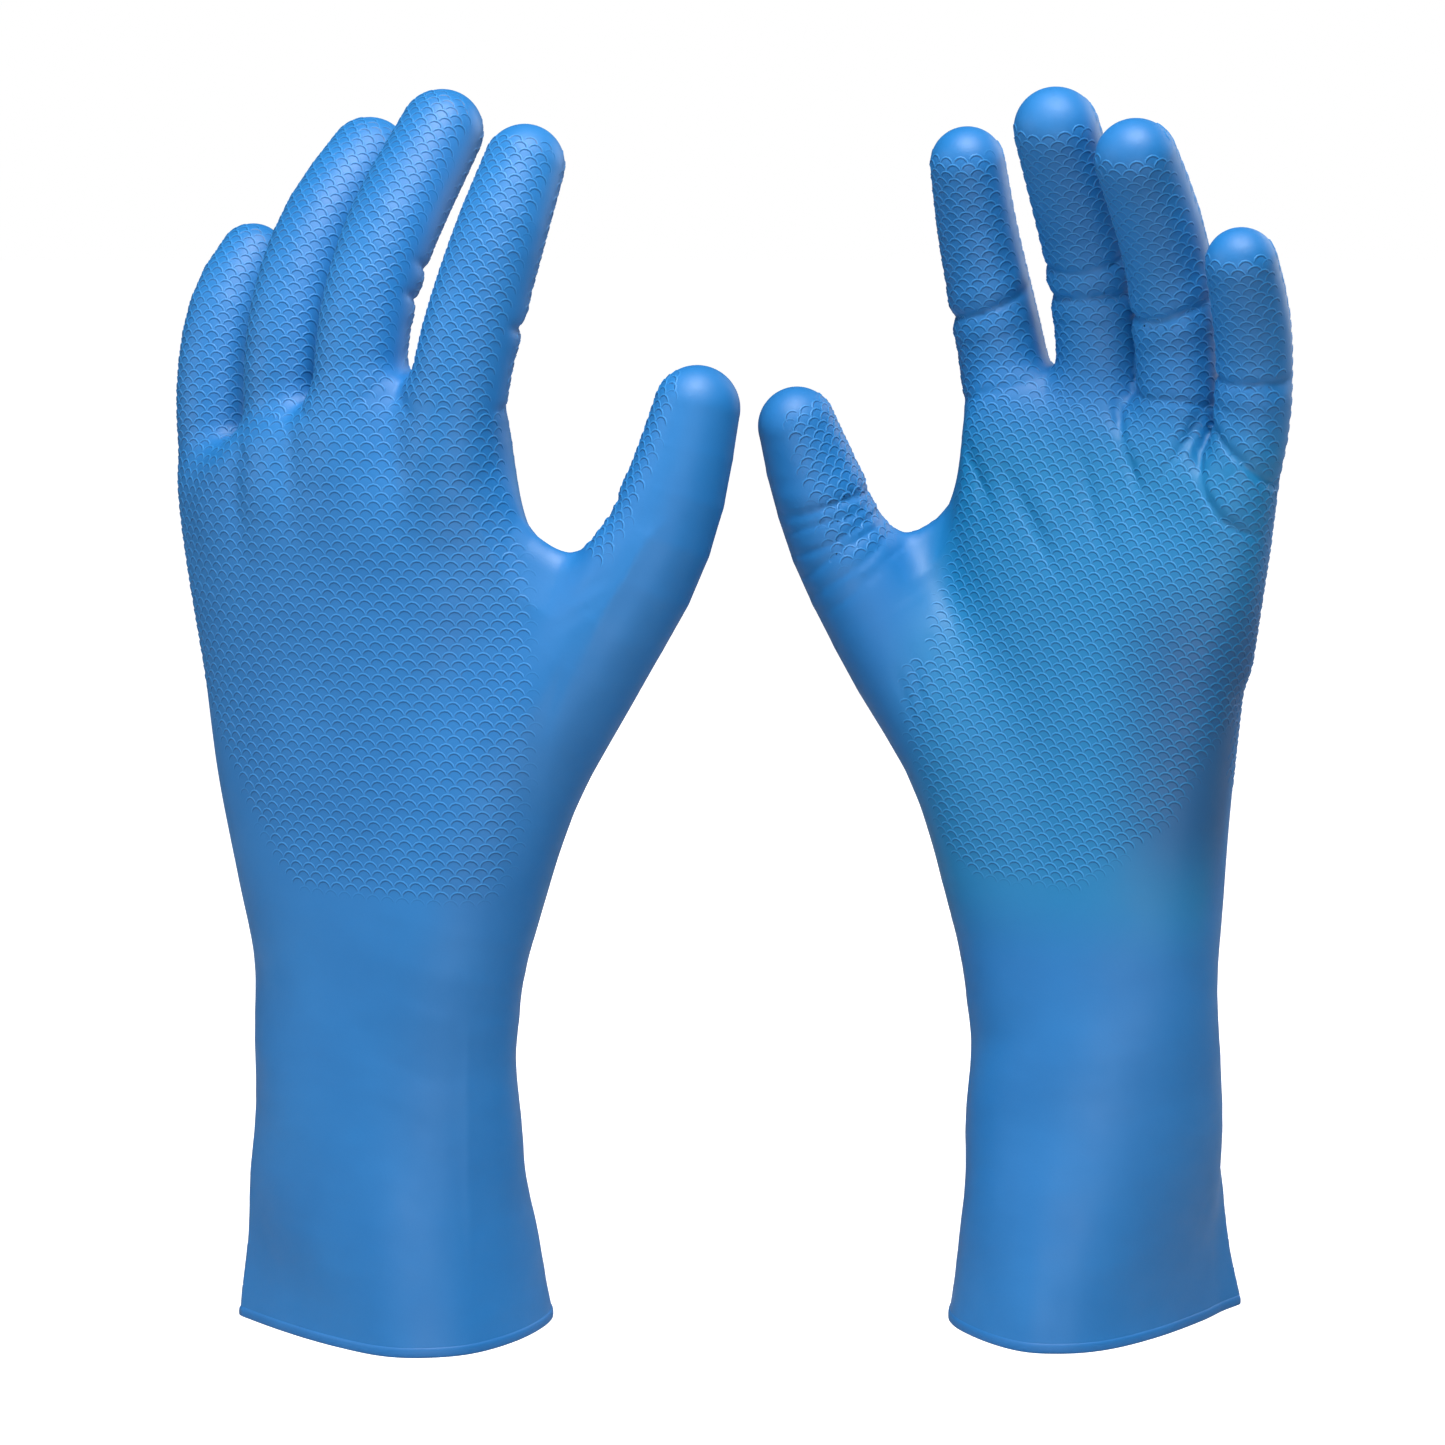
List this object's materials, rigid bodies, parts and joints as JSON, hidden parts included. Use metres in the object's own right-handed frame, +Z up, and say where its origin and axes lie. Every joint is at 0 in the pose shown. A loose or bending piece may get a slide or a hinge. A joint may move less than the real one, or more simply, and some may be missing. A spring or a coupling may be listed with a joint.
{
  "type": "rubber gloves",
  "caption": "Pair of long-cuff rubber gloves with rolled hems, fish-scale grip and digits that flex, standing fingers up.",
  "frame": {"origin": "on the surface that the pair stands on, under the middle of the pair's box", "axes": "+Z up the arms to the fingertips, X across the pair from the left glove to the right glove, +Y away from the side that shows the back of the left glove and the palm of the right one"},
  "size_m": [0.2855, 0.1017, 0.3224],
  "materials": {
    "blue_rubber": "satin",
    "bead_rubber": "satin"
  },
  "bodies": {
    "left_cuff": {"left_cuff": "blue_rubber", "left_cuff_bead": "bead_rubber"},
    "left_hand": {"left_hand": "blue_rubber"},
    "left_thumb_base": {"left_thumb_base": "blue_rubber"},
    "left_thumb_tip": {"left_thumb_tip": "blue_rubber"},
    "left_index_base": {"left_index_base": "blue_rubber"},
    "left_index_tip": {"left_index_tip": "blue_rubber"},
    "left_middle_base": {"left_middle_base": "blue_rubber"},
    "left_middle_tip": {"left_middle_tip": "blue_rubber"},
    "left_ring_base": {"left_ring_base": "blue_rubber"},
    "left_ring_tip": {"left_ring_tip": "blue_rubber"},
    "left_little_base": {"left_little_base": "blue_rubber"},
    "left_little_tip": {"left_little_tip": "blue_rubber"},
    "right_cuff": {"right_cuff": "blue_rubber", "right_cuff_bead": "bead_rubber"},
    "right_hand": {"right_hand": "blue_rubber"},
    "right_thumb_base": {"right_thumb_base": "blue_rubber"},
    "right_thumb_tip": {"right_thumb_tip": "blue_rubber"},
    "right_index_base": {"right_index_base": "blue_rubber"},
    "right_index_tip": {"right_index_tip": "blue_rubber"},
    "right_middle_base": {"right_middle_base": "blue_rubber"},
    "right_middle_tip": {"right_middle_tip": "blue_rubber"},
    "right_ring_base": {"right_ring_base": "blue_rubber"},
    "right_ring_tip": {"right_ring_tip": "blue_rubber"},
    "right_little_base": {"right_little_base": "blue_rubber"},
    "right_little_tip": {"right_little_tip": "blue_rubber"}
  },
  "joints": [
    {"name": "left_wrist", "type": "hinge", "parent": "left_cuff", "child": "left_hand", "pos_m": [-0.08781, -0.00354, 0.088], "axis": [-1, 0, 0], "range_deg": [-25, 25], "stiffness_Nm_per_rad": 2},
    {"name": "left_thumb_base_joint", "type": "hinge", "parent": "left_hand", "child": "left_thumb_base", "pos_m": [-0.02013, -0.01427, 0.20705], "axis": [-0.8678, -0.2596, 0.4237], "range_deg": [0, 20], "stiffness_Nm_per_rad": 0.05},
    {"name": "left_thumb_tip_joint", "type": "hinge", "parent": "left_thumb_base", "child": "left_thumb_tip", "pos_m": [-0.01371, -0.01529, 0.22269], "axis": [-0.913, -0.2731, 0.3031], "range_deg": [0, 45], "stiffness_Nm_per_rad": 0.03},
    {"name": "left_index_knuckle", "type": "hinge", "parent": "left_hand", "child": "left_index_base", "pos_m": [-0.05715, -0.00996, 0.2534], "axis": [-0.848, 0.5299, 0], "range_deg": [-10, 70], "stiffness_Nm_per_rad": 0.05},
    {"name": "left_index_middle_joint", "type": "hinge", "parent": "left_index_base", "child": "left_index_tip", "pos_m": [-0.05309, -0.00949, 0.26851], "axis": [-0.848, 0.5299, 0], "range_deg": [-10, 80], "stiffness_Nm_per_rad": 0.03},
    {"name": "left_middle_knuckle", "type": "hinge", "parent": "left_hand", "child": "left_middle_base", "pos_m": [-0.08454, 0.00364, 0.25487], "axis": [-0.848, 0.5299, 0], "range_deg": [-10, 70], "stiffness_Nm_per_rad": 0.05},
    {"name": "left_middle_middle_joint", "type": "hinge", "parent": "left_middle_base", "child": "left_middle_tip", "pos_m": [-0.08167, 0.00574, 0.27009], "axis": [-0.848, 0.5299, 0], "range_deg": [-10, 80], "stiffness_Nm_per_rad": 0.03},
    {"name": "left_ring_knuckle", "type": "hinge", "parent": "left_hand", "child": "left_ring_base", "pos_m": [-0.10572, 0.01926, 0.24764], "axis": [-0.848, 0.5299, 0], "range_deg": [-10, 70], "stiffness_Nm_per_rad": 0.05},
    {"name": "left_ring_middle_joint", "type": "hinge", "parent": "left_ring_base", "child": "left_ring_tip", "pos_m": [-0.10402, 0.02184, 0.26337], "axis": [-0.848, 0.5299, 0], "range_deg": [-10, 80], "stiffness_Nm_per_rad": 0.03},
    {"name": "left_little_knuckle", "type": "hinge", "parent": "left_hand", "child": "left_little_base", "pos_m": [-0.12663, 0.03843, 0.23711], "axis": [-0.848, 0.5299, 0], "range_deg": [-10, 70], "stiffness_Nm_per_rad": 0.05},
    {"name": "left_little_middle_joint", "type": "hinge", "parent": "left_little_base", "child": "left_little_tip", "pos_m": [-0.12612, 0.04063, 0.25152], "axis": [-0.848, 0.5299, 0], "range_deg": [-10, 80], "stiffness_Nm_per_rad": 0.03},
    {"name": "pair_spread", "type": "slide", "parent": "left_cuff", "child": "right_cuff", "axis": [1, 0, 0], "range_m": [0, 0.12]},
    {"name": "right_wrist", "type": "hinge", "parent": "right_cuff", "child": "right_hand", "pos_m": [0.09884, -0.00297, 0.088], "axis": [1, 0, 0], "range_deg": [-25, 25], "stiffness_Nm_per_rad": 2},
    {"name": "right_thumb_base_joint", "type": "hinge", "parent": "right_hand", "child": "right_thumb_base", "pos_m": [0.03572, 0.00127, 0.20588], "axis": [0.852, 0.3211, 0.4136], "range_deg": [0, 20], "stiffness_Nm_per_rad": 0.05},
    {"name": "right_thumb_tip_joint", "type": "hinge", "parent": "right_thumb_base", "child": "right_thumb_tip", "pos_m": [0.03012, 0.00161, 0.21957], "axis": [0.879, 0.3313, 0.3428], "range_deg": [0, 45], "stiffness_Nm_per_rad": 0.03},
    {"name": "right_index_knuckle", "type": "hinge", "parent": "right_hand", "child": "right_index_base", "pos_m": [0.06903, 0.002, 0.25173], "axis": [0.8829, -0.4695, 0], "range_deg": [-10, 70], "stiffness_Nm_per_rad": 0.05},
    {"name": "right_index_middle_joint", "type": "hinge", "parent": "right_index_base", "child": "right_index_tip", "pos_m": [0.066, 0.00085, 0.26635], "axis": [0.8829, -0.4695, 0], "range_deg": [-10, 80], "stiffness_Nm_per_rad": 0.03},
    {"name": "right_middle_knuckle", "type": "hinge", "parent": "right_hand", "child": "right_middle_base", "pos_m": [0.09338, -0.00923, 0.25254], "axis": [0.8829, -0.4695, 0], "range_deg": [-10, 70], "stiffness_Nm_per_rad": 0.05},
    {"name": "right_middle_middle_joint", "type": "hinge", "parent": "right_middle_base", "child": "right_middle_tip", "pos_m": [0.09091, -0.01175, 0.27153], "axis": [0.8829, -0.4695, 0], "range_deg": [-10, 80], "stiffness_Nm_per_rad": 0.03},
    {"name": "right_ring_knuckle", "type": "hinge", "parent": "right_hand", "child": "right_ring_base", "pos_m": [0.11204, -0.02341, 0.24608], "axis": [0.8829, -0.4695, 0], "range_deg": [-10, 70], "stiffness_Nm_per_rad": 0.05},
    {"name": "right_ring_middle_joint", "type": "hinge", "parent": "right_ring_base", "child": "right_ring_tip", "pos_m": [0.1104, -0.02639, 0.26414], "axis": [0.8829, -0.4695, 0], "range_deg": [-10, 80], "stiffness_Nm_per_rad": 0.03},
    {"name": "right_little_knuckle", "type": "hinge", "parent": "right_hand", "child": "right_little_base", "pos_m": [0.12907, -0.03568, 0.23722], "axis": [0.8829, -0.4695, 0], "range_deg": [-10, 70], "stiffness_Nm_per_rad": 0.05},
    {"name": "right_little_middle_joint", "type": "hinge", "parent": "right_little_base", "child": "right_little_tip", "pos_m": [0.12933, -0.03856, 0.25178], "axis": [0.8829, -0.4695, 0], "range_deg": [-10, 80], "stiffness_Nm_per_rad": 0.03}
  ]
}
